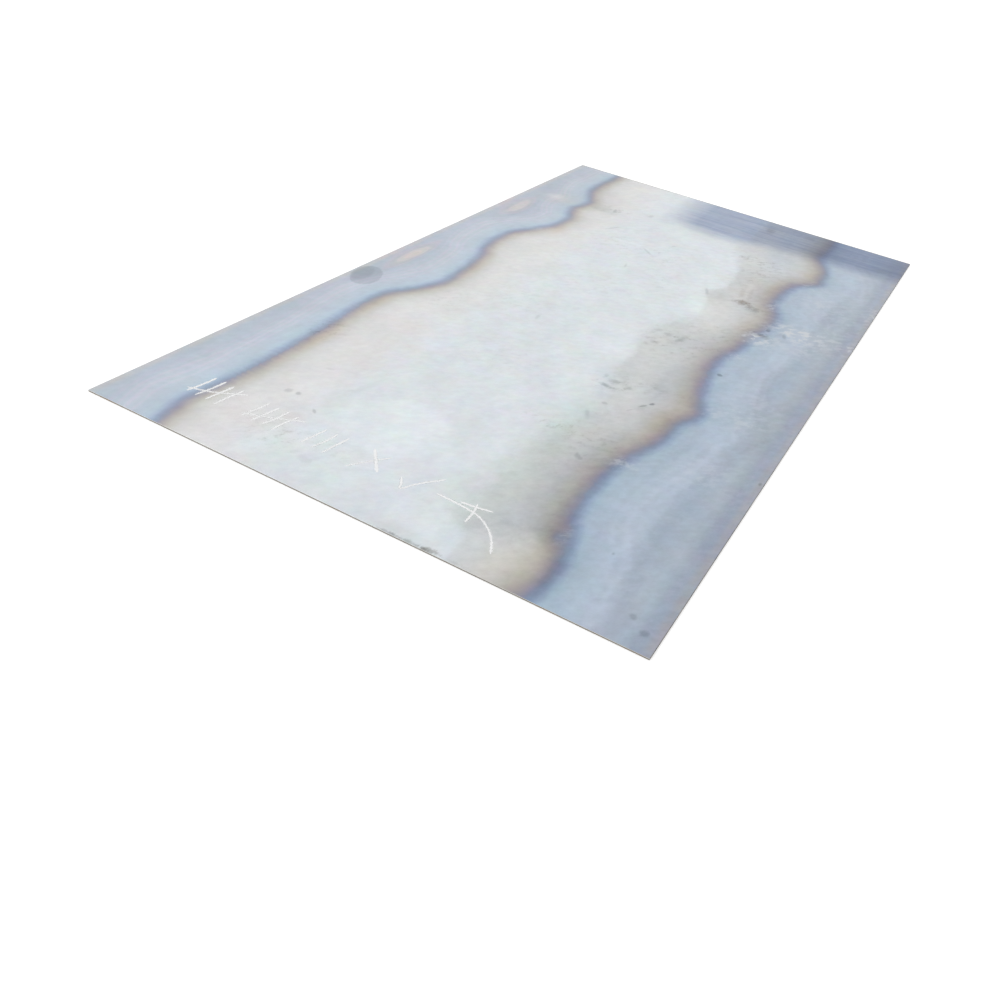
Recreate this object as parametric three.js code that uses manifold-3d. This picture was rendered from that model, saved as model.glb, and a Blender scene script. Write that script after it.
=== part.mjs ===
// A steel plate cut to length from a rolled coil: one flat piece of stock, lying on its underside.
// Millimetres, +Z up. The origin is under the plate's centre, on the face that the plate lies on.
// X runs across the coil and Y along it. The end at -Y was sheared first, and leads off the line.
//
// The plate is where two long bars meet. One bar has the section across the coil, with the mill
// edges that the rolls leave, and runs along Y. The other has the section along the coil, with the
// two sheared ends, and runs along X. What both bars share is the plate.
import * as THREE from "three";
import { mergeVertices } from "three/addons/utils/BufferGeometryUtils.js";
import Module from "manifold-3d";

// The size that the plate is ordered in.
const WIDTH = 1220;
const LENGTH = 2200;
const THICKNESS = 4.0;

// The mill edge along both long sides: a shallow crown between two round corners.
const MILL_CORNER_RADIUS = 1.0;
const MILL_CROWN_RADIUS = 6.0;
const MILL_CORNER_STEPS = 6;
const MILL_CROWN_STEPS = 6;

// The sheared end, from the face that the blade enters to the face that it leaves: the rolled-over
// corner, the bright land that the blade wipes flat, the torn face that falls back from it by the
// gap between the blades, and the burr, which lies bent outward, flush with the face it hangs from.
const ROLLOVER_RUN = 0.8;
const ROLLOVER_DEPTH = 0.4;
const ROLLOVER_STEPS = 6;
const LAND_HEIGHT = 1.3;
const BLADE_GAP = 0.3;
const BURR_HEIGHT = 0.25;
const BURR_REACH = 0.15;

// How far each bar runs past the other, so that neither bar's own ends are left on the plate.
const OVERRUN = 20;

const STEEL_COLOUR = 0xb7c3ce;
const STEEL_ROUGHNESS = 0.42;
const STEEL_METALNESS = 0.55;

const wasm = await Module();
wasm.setup();

/** Points on a circle about (x, z), from one angle up to, but not including, the other. */
function arc(x, z, radius, from, to, steps) {
  return Array.from({ length: steps }, (_, step) => {
    const angle = from + ((to - from) * step) / steps;
    return new THREE.Vector2(x + radius * Math.cos(angle), z + radius * Math.sin(angle));
  });
}

/** The section across the coil, as (x, z): each side is three arcs, tangent to each other. */
function widthSection() {
  const middle = THICKNESS / 2;
  const lean = Math.asin((middle - MILL_CORNER_RADIUS) / (MILL_CROWN_RADIUS - MILL_CORNER_RADIUS));
  const crownX = WIDTH / 2 - MILL_CROWN_RADIUS;
  const cornerX = crownX + (MILL_CROWN_RADIUS - MILL_CORNER_RADIUS) * Math.cos(lean);
  const low = MILL_CORNER_RADIUS;
  const high = THICKNESS - MILL_CORNER_RADIUS;
  const quarter = Math.PI / 2;
  const rightSide = [
    ...arc(cornerX, low, MILL_CORNER_RADIUS, -quarter, -lean, MILL_CORNER_STEPS),
    ...arc(crownX, middle, MILL_CROWN_RADIUS, -lean, lean, MILL_CROWN_STEPS),
    ...arc(cornerX, high, MILL_CORNER_RADIUS, lean, quarter, MILL_CORNER_STEPS),
    new THREE.Vector2(cornerX, THICKNESS),
  ];
  const leftSide = rightSide.map((point) => new THREE.Vector2(-point.x, point.y)).reverse();
  return [...rightSide, ...leftSide];
}

/** One sheared end, as (inward, away): inward from the land, and away from the blade's face. */
function shearedEnd() {
  const landEnd = ROLLOVER_DEPTH + LAND_HEIGHT;
  const rollover = Array.from({ length: ROLLOVER_STEPS + 1 }, (_, step) => {
    const angle = (Math.PI / 2) * (step / ROLLOVER_STEPS);
    const inward = ROLLOVER_RUN * (1 - Math.sin(angle));
    return new THREE.Vector2(inward, ROLLOVER_DEPTH * (1 - Math.cos(angle)));
  });
  return [
    ...rollover,
    new THREE.Vector2(0, landEnd),
    new THREE.Vector2(BLADE_GAP, THICKNESS - BURR_HEIGHT),
    new THREE.Vector2(BLADE_GAP - BURR_REACH, THICKNESS),
  ];
}

/**
 * The section along the coil, as (y, z). The blade comes down between two plates, so the plate
 * it leaves on the table rolls over on top, and the one it pushes down rolls over underneath.
 */
function lengthSection() {
  const end = shearedEnd();
  const half = LENGTH / 2;
  const leading = end.map((point) => new THREE.Vector2(-half + point.x, THICKNESS - point.y));
  const trailing = end.map((point) => new THREE.Vector2(half - point.x, point.y));
  return [...leading, ...trailing];
}

/** A bar of the given section: its x and y go along the two given axes, its length along the third. */
function bar(section, length, across, up, along) {
  const shape = new THREE.Shape(section);
  const geometry = new THREE.ExtrudeGeometry(shape, { depth: length, bevelEnabled: false });
  geometry.translate(0, 0, -length / 2);
  geometry.applyMatrix4(new THREE.Matrix4().makeBasis(across, up, along));
  return solid(geometry);
}

/** A closed geometry as a solid that can be cut. */
function solid(geometry) {
  geometry.deleteAttribute("normal");
  geometry.deleteAttribute("uv");
  const merged = mergeVertices(geometry);
  const mesh = new wasm.Mesh({
    numProp: 3,
    vertProperties: merged.attributes.position.array,
    triVerts: new Uint32Array(merged.index.array),
  });
  return new wasm.Manifold(mesh);
}

/** A cut solid back as a geometry with one normal to a facet. */
function geometryOf(cut) {
  const mesh = cut.getMesh();
  const geometry = new THREE.BufferGeometry();
  geometry.setAttribute("position", new THREE.BufferAttribute(mesh.vertProperties, mesh.numProp));
  geometry.setIndex(new THREE.BufferAttribute(mesh.triVerts, 1));
  const faceted = geometry.toNonIndexed();
  faceted.computeVertexNormals();
  return faceted;
}

/** The plate: the bar between the mill edges, cut to length by the bar between the sheared ends. */
function plate() {
  const alongX = new THREE.Vector3(1, 0, 0);
  const alongY = new THREE.Vector3(0, 1, 0);
  const alongZ = new THREE.Vector3(0, 0, 1);
  const rolled = bar(widthSection(), LENGTH + OVERRUN, alongX, alongZ, alongY.clone().negate());
  const sheared = bar(lengthSection(), WIDTH + OVERRUN, alongY, alongZ, alongX);
  const steel = new THREE.MeshStandardMaterial({
    color: STEEL_COLOUR,
    roughness: STEEL_ROUGHNESS,
    metalness: STEEL_METALNESS,
  });
  const mesh = new THREE.Mesh(geometryOf(rolled.intersect(sheared)), steel);
  mesh.name = "plate";
  return mesh;
}

const steelPlate = new THREE.Group();
steelPlate.name = "steel_plate";
steelPlate.add(plate());

export default steelPlate;
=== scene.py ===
# %% [markdown]
# # A rolled steel plate with heat tints
# This notebook dresses one piece of stock: a steel plate 4 mm thick, cut to length from a coil that was
# annealed with air at its edges. The heat left an oxide film that is thickest along both sides, and
# the film's thickness decides its colour: straw, brown, purple, blue, then paler blues and peach.
# The fixed model gives the plate's size. Everything here is in metres, in that model's own frame.

# %% Load the fixed model
import math
from types import SimpleNamespace
import bpy
import numpy as np
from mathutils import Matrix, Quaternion, Vector


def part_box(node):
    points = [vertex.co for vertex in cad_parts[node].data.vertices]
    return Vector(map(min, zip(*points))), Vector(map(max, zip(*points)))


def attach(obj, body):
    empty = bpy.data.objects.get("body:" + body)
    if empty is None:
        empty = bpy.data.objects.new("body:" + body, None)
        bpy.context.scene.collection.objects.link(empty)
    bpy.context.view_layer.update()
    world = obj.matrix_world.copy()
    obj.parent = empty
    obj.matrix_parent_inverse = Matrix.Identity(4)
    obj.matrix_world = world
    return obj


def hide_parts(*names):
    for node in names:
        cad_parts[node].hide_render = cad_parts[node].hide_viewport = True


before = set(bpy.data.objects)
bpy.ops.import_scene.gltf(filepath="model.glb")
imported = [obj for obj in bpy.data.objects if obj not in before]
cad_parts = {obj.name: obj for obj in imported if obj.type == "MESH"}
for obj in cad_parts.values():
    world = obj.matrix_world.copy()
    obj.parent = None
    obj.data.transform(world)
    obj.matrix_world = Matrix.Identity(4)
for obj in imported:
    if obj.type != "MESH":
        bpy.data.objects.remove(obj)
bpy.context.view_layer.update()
plate_low, plate_high = (np.array(corner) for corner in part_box("plate"))
WIDTH, LENGTH, THICKNESS = (float(size) for size in plate_high - plate_low)
MM = 0.001
print(f"plate {WIDTH:.3f} x {LENGTH:.3f} x {THICKNESS:.4f} m")

# %% [markdown]
# ## Camera
# A plate on the floor is seen well from a person's standing height, off its near right corner.
# A camera can be turned by typing three angles, but a place, a point to look at and a roll say
# the same thing in a way that can be read, so the rotation is worked out from those.

# %% Camera
CAMERA_PLACE = Vector((0.8303, -2.1620, 1.0344))
CAMERA_AIM = Vector((0.2721, -0.8621, 0.0))
CAMERA_ROLL = math.radians(9.58)
CAMERA_LENS = 33.941
CAMERA_SHIFT = (-0.0347, 0.0059)
CAMERA_REACH = 100


def placed(name, data):
    """Makes an object of the data and puts it in the scene."""
    made = bpy.data.objects.new(name, data)
    bpy.context.scene.collection.objects.link(made)
    return made


def aimed(name, data, place, aim, roll=0.0):
    """An object at place, with its -Z turned to point at aim and then rolled about that line."""
    made = placed(name, data)
    made.location = place
    made.rotation_mode = "QUATERNION"
    level = (aim - place).to_track_quat("-Z", "Y")
    made.rotation_quaternion = level @ Quaternion((0, 0, 1), roll)
    return made


camera = aimed("camera", bpy.data.cameras.new("camera"), CAMERA_PLACE, CAMERA_AIM, CAMERA_ROLL)
camera.data.lens = CAMERA_LENS
camera.data.shift_x, camera.data.shift_y = CAMERA_SHIFT
camera.data.clip_end = CAMERA_REACH
bpy.context.scene.camera = camera
print("camera stands", round((CAMERA_PLACE - CAMERA_AIM).length, 2), "m from its aim")

# %% [markdown]
# ## A short way to write node trees
# Every material below is a chain of nodes. Adding each node and link by hand takes three lines a node,
# so one helper adds a node, sets its options and fills its inputs. What a node puts out is held as a
# wire, and a sum on wires is written like a sum on numbers: each sign in it adds one Math node.

# %% Wires
class Wire:
    """What one output of a node gives: a number, colour or direction that varies over the surface."""

    def __init__(self, socket):
        self.socket, self.tree = socket, socket.id_data

    def __add__(self, other):
        return maths("ADD", self, other)

    def __mul__(self, other):
        return maths("MULTIPLY", self, other)

    def __sub__(self, other):
        return maths("SUBTRACT", self, other)

    def __rsub__(self, other):
        return maths("SUBTRACT", other, self)

    def clamped(self):
        """Keeps the sum that was written last between 0 and 1."""
        self.socket.node.use_clamp = True
        return self


# %% Nodes
def node(kind, inputs=(), tree=None, **options):
    """Adds a node of that kind, with its options set and its inputs linked to wires or filled. It goes
    into the tree that is given, or else into the tree of its first wire."""
    inputs = dict(inputs)
    tree = tree or next(value.tree for value in inputs.values() if isinstance(value, Wire))
    made = tree.nodes.new(kind)
    for name, value in options.items():
        setattr(made, name, value)
    for key, value in inputs.items():
        if isinstance(value, Wire):
            tree.links.new(value.socket, made.inputs[key])
        else:
            made.inputs[key].default_value = value
    return made


def wire(kind, inputs=(), output=0, **options):
    """Adds a node in the same way, and gives one of its outputs."""
    return Wire(node(kind, inputs, **options).outputs[output])


def wires(kind, inputs=(), **options):
    """Adds a node in the same way, and gives all its outputs by name."""
    return {socket.name: Wire(socket) for socket in node(kind, inputs, **options).outputs}


# %% Sums, steps and mixes
def maths(operation, *values):
    """One sum on wires and numbers."""
    return wire("ShaderNodeMath", enumerate(values), operation=operation)


def smooth(value, low, high, to_low=0.0, to_high=1.0):
    """An S-shaped step: to_low where value is under low, to_high where it is over high."""
    inputs = {"Value": value, "From Min": low, "From Max": high, "To Min": to_low, "To Max": to_high}
    return wire("ShaderNodeMapRange", inputs, interpolation_type="SMOOTHSTEP")


def mixed(share, first, second, mode="MIX"):
    """Colour first where share is 0, and first with second blended over it where share is 1."""
    return wire("ShaderNodeMix", {0: share, 6: first, 7: second}, 2, data_type="RGBA", blend_type=mode)


def seen(red, green, blue):
    """A colour as it is read off a screen, 0 to 255, turned into the linear colour a shader wants."""
    share = np.array([red, green, blue]) / 255
    linear = np.where(share <= 0.04045, share / 12.92, ((share + 0.055) / 1.055) ** 2.4)
    return (*linear.tolist(), 1.0)


print("a screen's middle grey of 128 is", round(seen(128, 128, 128)[0], 3), "to a shader")

# %% [markdown]
# ## Floor and light
# Bright steel shows what is around it, so the room matters as much as the lamps. The floor and
# the world are plain and pale, and the world is white to the camera and in reflections, which keeps the
# silver middle silver. One broad lamp from the front left lights the near end and leaves
# the far side's thin shadow, and a weaker one from the back right keeps that side open.

# %% World
WORLD_DIFFUSE, WORLD_SHOWN = 0.88, 1.0
WHITE = (1, 1, 1, 1)


def seen_directly(tree):
    """1 for camera, glossy and transmission rays, which see the room itself, and 0 for others."""
    path = wires("ShaderNodeLightPath", tree=tree)
    glossy = maths("MAXIMUM", path["Is Camera Ray"], path["Is Glossy Ray"])
    return maths("MAXIMUM", glossy, path["Is Transmission Ray"])


def emptied(owner):
    """The node tree of a material or a world, with nothing in it."""
    owner.use_nodes = True
    owner.node_tree.nodes.clear()
    return owner.node_tree


def pale_world():
    """White all round, at WORLD_SHOWN to rays that see the room and WORLD_DIFFUSE as light."""
    world = bpy.data.worlds.new("pale room")
    strength = seen_directly(emptied(world)) * (WORLD_SHOWN - WORLD_DIFFUSE) + WORLD_DIFFUSE
    sky = wire("ShaderNodeBackground", {"Color": WHITE, "Strength": strength})
    node("ShaderNodeOutputWorld", {"Surface": sky})
    bpy.context.scene.world = world


pale_world()
print("world:", bpy.context.scene.world.name)

# %% Floor and lamps
FLOOR_SIZE = 60.0
FLOOR_COLOUR = seen(244, 244, 244)
FLOOR_GLOW = 0.26


def pale_floor():
    """A wide square under the plate, with a glow that only the camera and reflections see."""
    material = bpy.data.materials.new("pale floor")
    tree = emptied(material)
    shaded = wire("ShaderNodeBsdfDiffuse", {"Color": FLOOR_COLOUR}, tree=tree)
    lit = wire("ShaderNodeEmission", {"Color": WHITE, "Strength": seen_directly(tree) * FLOOR_GLOW})
    node("ShaderNodeOutputMaterial", {"Surface": wire("ShaderNodeAddShader", {0: shaded, 1: lit})})
    half = FLOOR_SIZE / 2
    mesh = bpy.data.meshes.new("floor")
    corners = [(-half, -half, 0), (half, -half, 0), (half, half, 0), (-half, half, 0)]
    mesh.from_pydata(corners, [], [(0, 1, 2, 3)])
    mesh.materials.append(material)
    placed("floor", mesh)


def lamp(name, place, size, watts):
    """A round lamp that points at the plate's middle."""
    data = bpy.data.lights.new(name, "AREA")
    data.shape, data.size, data.energy = "DISK", size, watts
    aimed(name, data, Vector(place), Vector())


pale_floor()
lamp("key_lamp", (-2.6, -2.4, 3.2), size=2.4, watts=24.0)
lamp("fill_lamp", (3.0, 2.2, 2.6), size=3.0, watts=10.0)
bpy.context.scene.view_settings.view_transform = "Standard"
print("lamps:", ", ".join(light.name for light in bpy.data.lights))

# %% [markdown]
# ## Where the colours run
# On the real plate the film's edge is a wandering line down each side, where air stopped creeping in
# between the coil's turns. It could be painted, or grown from noise, but its bays and headlands are
# what makes this plate this plate. So each line is a smooth curve through a few points, and
# all colour follows from the distance to it, as it does when air creeps in from an edge.

# %% The two tide lines
# Here and below, a place is (across, along) in millimetres from the plate's near left corner.
LEFT_TIDE = [
    (187, -40), (181, 0), (170, 50), (160, 100), (165, 150), (171, 250), (166, 400), (162, 500), (152, 600),
    (144, 700), (147, 760), (156, 800), (182, 850), (201, 900), (216, 955), (213, 1000), (209, 1050),
    (203, 1100), (186, 1190), (169, 1225), (161, 1260), (156, 1300), (155, 1350), (159, 1400), (180, 1450),
    (201, 1500), (221, 1550), (228, 1620), (226, 1660), (208, 1700), (195, 1750), (204, 1800), (205, 1850),
    (184, 1900), (164, 1950), (153, 2000), (154, 2100), (154, 2170), (152, 2240),
]
RIGHT_TIDE = [
    (985, -40), (990, 0), (998, 50), (999, 100), (989, 150), (975, 200), (954, 250), (946, 300), (942, 400),
    (945, 450), (953, 500), (967, 550), (982, 600), (985, 650), (986, 700), (1004, 740), (1008, 780),
    (996, 810), (981, 850), (970, 900), (953, 1000), (951, 1050), (957, 1100), (969, 1150), (973, 1200),
    (975, 1250), (985, 1300), (994, 1350), (992, 1400), (983, 1445), (963, 1485), (956, 1520), (954, 1560),
    (955, 1620), (965, 1680), (982, 1710), (1006, 1740), (1022, 1770), (1017, 1820), (1015, 1860),
    (1006, 1900), (984, 1950), (965, 2000), (968, 2100), (966, 2240),
]


def in_frame(across, along):
    """A place as x and y in the plate's own frame."""
    return across * MM - WIDTH / 2, along * MM - LENGTH / 2


def curve(places, steps_each=8):
    """A Catmull-Rom curve: between points b and c, with a before and d after, and t from 0 to 1, it is
    half of (2b + (c - a) t + (2a - 5b + 4c - d) t squared + (3b - a - 3c + d) t cubed)."""
    knots = np.array(places, float)
    knots = np.vstack([2 * knots[0] - knots[1], knots, 2 * knots[-1] - knots[-2]])
    a, b, c, d = (knots[start : len(knots) - 3 + start, None, :] for start in range(4))
    t = (np.arange(steps_each) / steps_each)[None, :, None]
    bent = 2 * b + (c - a) * t + (2 * a - 5 * b + 4 * c - d) * t**2 + (3 * b - a - 3 * c + d) * t**3
    line = np.vstack([(bent / 2).reshape(-1, 2), knots[-2]])
    return np.stack(in_frame(*line.T), axis=1)


left_line, right_line = curve(LEFT_TIDE), curve(RIGHT_TIDE)
print(len(left_line), "and", len(right_line), "points on the tide lines")

# %% [markdown]
# ## The oxide film as one number
# The film at a point is stored as one number, from 0 in the bright middle to 1 where it is thickest. It
# grows with the distance behind the tide line. The colour then comes from a single ramp, so the rings
# and the peach spots in the wide bays appear by themselves, where the film is thickest.

# %% Distances, waves and patches
LENGTHWISE = 3.0


def waves(x, y, seed, count=7, shortest=0.05, longest=0.4, stretch=1.0):
    """A smooth random surface from -1 to 1: the mean of sine waves of random direction, length and
    phase, with y squeezed by stretch so that the pattern runs lengthwise where stretch is over 1."""
    chance = np.random.default_rng(seed)
    total = np.zeros_like(x)
    for _ in range(count):
        angle, phase = chance.uniform(0, 2 * np.pi, 2)
        length = np.exp(chance.uniform(np.log(shortest), np.log(longest)))
        travel = x * np.cos(angle) + y * np.sin(angle) / stretch
        total += np.sin(2 * np.pi * travel / length + phase)
    return total / count


def behind(x, y, line, side):
    """Distance from each point to the line, counted as positive behind it, towards the plate's side:
    side is -1 for the left line and 1 for the right one."""
    place = np.stack([x, y], axis=-1).reshape(-1, 2)
    nearest = np.full(len(place), np.inf)
    for point in line:
        np.minimum(nearest, np.hypot(*(place - point).T), out=nearest)
    order = np.argsort(line[:, 1])
    line_x = np.interp(place[:, 1], line[order, 1], line[order, 0])
    sign = np.where(side * (place[:, 0] - line_x) > 0, 1.0, -1.0)
    return (nearest * sign).reshape(x.shape)


def patches(x, y, rows):
    """Round hills added up. Each row is a hill's place, its half widths across and along, and its
    height: height times e to the minus half the squared distance over the half widths."""
    total = 0
    for across, along, wide, long, height in rows:
        centre_x, centre_y = in_frame(across, along)
        reach = ((x - centre_x) / (wide * MM)) ** 2 + ((y - centre_y) / (long * MM)) ** 2
        total = total + np.exp(-0.5 * reach) * height
    return total


middle = np.zeros(1)
print("the middle is", round(-behind(middle, middle, left_line, -1)[0] / MM), "mm from the left line")

# %% Film thickness
FILM_BEFORE, FILM_BEHIND = 0.12, 0.24
BEND = 0.045
LEFT_GROWTH, RIGHT_GROWTH = 1.35, 0.75
RIGHT_REACH = 0.80
DEEP_FROM, DEEP_OVER, DEEP_WANDER = 0.03, 0.08, 0.020
SLOW_FROM, SLOW_GROWTH = 0.140, 0.12
HOT_UNEVEN = 0.5
# Rows as for patches, with the extra film in millimetres.
HOT_SPOTS = [
    (53, 1044, 13, 80, 54), (60, 1622, 18, 70, 43), (1110, 770, 12, 26, 30), (957, 178, 12, 15, 20),
]


def film_depth(x, y):
    """Distance behind the nearer tide line, in metres. Ahead of the line it reaches further on the right,
    by RIGHT_REACH. Past BEND the film grows faster on the left than on the right, and past SLOW_FROM
    slowly on both. The deep film wanders, and hot spots add to it."""
    left, right = behind(x, y, left_line, -1), behind(x, y, right_line, 1)
    right = np.where(right < 0, right * RIGHT_REACH, right)
    left = np.where(left > BEND, BEND + (left - BEND) * LEFT_GROWTH, left)
    right = np.where(right > BEND, BEND + (right - BEND) * RIGHT_GROWTH, right)
    depth = np.maximum(left, right)
    deep = np.clip((depth - DEEP_FROM) / DEEP_OVER, 0, 1)
    wander = waves(x, y, seed=4, shortest=0.06, longest=0.2, stretch=LENGTHWISE)
    depth = depth + deep * DEEP_WANDER * wander
    depth = np.where(depth > SLOW_FROM, SLOW_FROM + (depth - SLOW_FROM) * SLOW_GROWTH, depth)
    uneven = waves(x, y, seed=5, shortest=0.03, longest=0.12, stretch=LENGTHWISE)
    return depth + patches(x, y, HOT_SPOTS) * MM * (1 + HOT_UNEVEN * uneven)


def film(x, y):
    """The film from 0 to 1, from FILM_BEFORE ahead of the tide line to FILM_BEHIND behind it."""
    return np.clip((film_depth(x, y) + FILM_BEFORE) / (FILM_BEFORE + FILM_BEHIND), 0, 1)


halfway_across = np.linspace(-WIDTH / 2, WIDTH / 2, 7)
print("film from left to right:", film(halfway_across, 0 * halfway_across).round(2).tolist())

# %% [markdown]
# ## The plate's surface
# The fixed model's plate is right in shape but has a few hundred large facets, too few to carry a
# film. A new surface takes its place, with the same section: a length section with the two sheared
# ends is carried across the width, and squeezed to the height of the mill edge at both sides.
# It is a closed tube of quads, and a narrow strip along each side closes it.

# %% Stations across the plate
MILL_CORNER, MILL_CROWN = 1.0 * MM, 6.0 * MM
CREST_HALF = 0.3 * MM
CROWN_STATIONS, CORNER_STATIONS = 4, 7
ACROSS_STEP = 6.5 * MM
SUPPORT = 1.5 * MM


def mill_edge():
    """(distance in from the side, half height) up the mill edge, from its crest to the flat face: the
    crown's arc and then the corner's arc, which is tangent to it and to the face."""
    middle = THICKNESS / 2
    lean = math.asin((middle - MILL_CORNER) / (MILL_CROWN - MILL_CORNER))
    crown = np.linspace(math.asin(CREST_HALF / MILL_CROWN), lean, CROWN_STATIONS)[:-1]
    corner = np.linspace(lean, math.pi / 2, CORNER_STATIONS)
    corner_in = MILL_CROWN - (MILL_CROWN - MILL_CORNER) * math.cos(lean)
    inset = np.r_[MILL_CROWN * (1 - np.cos(crown)), corner_in - MILL_CORNER * np.cos(corner)]
    height = np.r_[MILL_CROWN * np.sin(crown), middle - MILL_CORNER + MILL_CORNER * np.sin(corner)]
    return inset, height


def stations_across():
    """x of each station and the half height of the plate there, from the left side to the right."""
    inset, height = mill_edge()
    inner = WIDTH / 2 - inset[-1] - SUPPORT
    flat = np.linspace(-inner, inner, round(2 * inner / ACROSS_STEP) + 1)
    side = WIDTH / 2 - inset
    x = np.r_[-side, flat, side[::-1]]
    half = np.r_[height, np.full(len(flat), THICKNESS / 2), height[::-1]]
    return x, half, len(inset)


station_x, station_half, edge_count = stations_across()
print(len(station_x), "stations across")

# %% Stations round the length section
ROLLOVER_RUN, ROLLOVER_DEPTH, ROLLOVER_STEPS = 0.8 * MM, 0.4 * MM, 6
LAND_HEIGHT = 1.3 * MM
BLADE_GAP = 0.3 * MM
BURR_HEIGHT, BURR_REACH = 0.25 * MM, 0.15 * MM
ALONG_STEP = 7.5 * MM
UNDER_EVERY = 4


def sheared_end():
    """(distance in from the land, share of the thickness away from the blade's face) down the cut."""
    turn = np.linspace(0, math.pi / 2, ROLLOVER_STEPS + 1)
    rolled = ROLLOVER_DEPTH * (1 - np.cos(turn))
    away = np.r_[rolled, ROLLOVER_DEPTH + LAND_HEIGHT, THICKNESS - BURR_HEIGHT, THICKNESS]
    inset = np.r_[ROLLOVER_RUN * (1 - np.sin(turn)), 0, BLADE_GAP, BLADE_GAP - BURR_REACH]
    return inset, away / THICKNESS


def stations_round():
    """y and height share (1 on top, 0 underneath) once round the length section: along the top from
    the far end to the near one, down the near cut, back underneath, and up the far cut. The underside
    has one station for UNDER_EVERY of the top."""
    inset, away = sheared_end()
    reach = LENGTH / 2 - ROLLOVER_RUN - SUPPORT
    spans = round(2 * reach / ALONG_STEP / UNDER_EVERY) * UNDER_EVERY
    along = np.linspace(reach, -reach, spans + 1)
    under = along[::-UNDER_EVERY]
    y = np.r_[along, -LENGTH / 2 + inset, under, LENGTH / 2 - inset]
    share = np.r_[np.ones(len(along)), 1 - away, np.zeros(len(under)), away]
    return y, share, (len(along), len(inset), len(under))


station_y, station_share, (top_count, cut_count, under_count) = stations_round()
print(len(station_y), "stations round the length section")

# %% [markdown]
# ## Small unevenness
# No rolled face is a true plane and no cut is a true line. The faces dip by about a tenth of a
# millimetre, the torn part of each cut is ragged, and the mill edges wander. All of it goes inwards,
# so the plate never grows past its ordered size.

# %% Heights
FACE_SINK = 0.06 * MM
FACE_DIP = 0.12 * MM
TORN_RAG = 0.14 * MM
SIDE_WANDER, SIDE_OVER = 0.25 * MM, 2 * MM
RAG_SQUEEZE, WANDER_SQUEEZE = 9, 3
# Height shares over and under which a point is on a face, and the ones that each torn face lies between.
TOP, UNDERSIDE = 0.999, 0.001
NEAR_TORN, FAR_TORN = (0.01, 0.6), (0.4, 0.99)


def dip(x, y):
    """How deep the face dips, from 0 to 1: long smooth waves."""
    return 0.5 + 0.5 * waves(x, y, seed=11, count=9, shortest=0.12, longest=0.7)


def face_height(x, y):
    """Height of the top face over the floor."""
    return THICKNESS - FACE_SINK - FACE_DIP * dip(x, y)


def plate_points():
    """Every point of the plate: x and the half height from the station across, y and the height share
    from the station round. The height is half the thickness plus the half height times twice the share
    less one. Then the small unevenness is added."""
    x, y = np.meshgrid(station_x, station_y, indexing="ij")
    half, share = np.meshgrid(station_half, station_share, indexing="ij")
    z = THICKNESS / 2 + half * (2 * share - 1)
    side = np.clip(1 - (WIDTH / 2 - np.abs(x)) / SIDE_OVER, 0, 1)
    z = z - np.where(share > TOP, THICKNESS - face_height(x, y), 0)
    z = z + np.where(share < UNDERSIDE, FACE_DIP * dip(x, y) * (1 - side), 0)
    low, high = (np.where(y < 0, *pair) for pair in zip(NEAR_TORN, FAR_TORN))
    torn = (share > low) & (share < high)
    rag = 0.5 + 0.5 * waves(x * RAG_SQUEEZE, y, seed=12, count=9, shortest=0.05, longest=0.9)
    y = y - np.sign(y) * np.where(torn, TORN_RAG * rag, 0)
    wander = waves(x * 0, y * WANDER_SQUEEZE, seed=13, count=9, shortest=0.1, longest=1.5)
    return x - np.sign(x) * side * SIDE_WANDER * (0.5 + 0.5 * wander), y, z


grid_x, grid_y, grid_z = plate_points()
top = grid_z[edge_count:-edge_count, :top_count] / MM
print(f"top from {top.min():.3f} to {top.max():.3f} mm over the floor")

# %% Closed surface
def tube_faces(rows, columns):
    """Quads between each row of points and the next, closed round the columns."""
    row, column = np.meshgrid(np.arange(rows - 1), np.arange(columns), indexing="ij")
    after = (column + 1) % columns
    here, there = row * columns, (row + 1) * columns
    quads = np.stack([here + column, here + after, there + after, there + column], axis=-1)
    return quads.reshape(-1, 4).tolist()


def side_faces(row, columns, flip):
    """Closes one side: each stretch of the underside with the stretches of the top over it, and one
    face over the points of each cut."""
    under_start = top_count + cut_count
    near = list(range(top_count - 1, under_start + 1))
    far = [*range(under_start + under_count - 1, columns), 0]
    strip = []
    for stretch in range(under_count - 1):
        first = top_count - 1 - stretch * UNDER_EVERY
        top = range(first, first - UNDER_EVERY - 1, -1)
        strip.append([under_start + stretch + 1, under_start + stretch, *top][::-1])
    faces = [[row * columns + point for point in face] for face in [near, far, *strip]]
    return [face[::-1] for face in faces] if flip else faces


rows, columns = grid_x.shape
plate_faces = tube_faces(rows, columns)
tube_count = len(plate_faces)
plate_faces += side_faces(0, columns, flip=True) + side_faces(rows - 1, columns, flip=False)
plate_data = bpy.data.meshes.new("rolled_plate")
points = np.stack([grid_x, grid_y, grid_z], axis=-1).reshape(-1, 3)
plate_data.from_pydata(points.tolist(), [], plate_faces)
print(len(points), "points,", len(plate_faces), "faces")

# %% [markdown]
# ## Numbers for the colours
# The film is only part of what the face shows. Where the coil was wiped, a greyer strip was left along
# the right of the bright middle, with a scalloped edge. Each thing that has a place of its own is a
# number on the mesh's points. A sharp edge is kept as the distance to it, which stays sharp however
# coarse the mesh is, and a soft one as a share.

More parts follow.
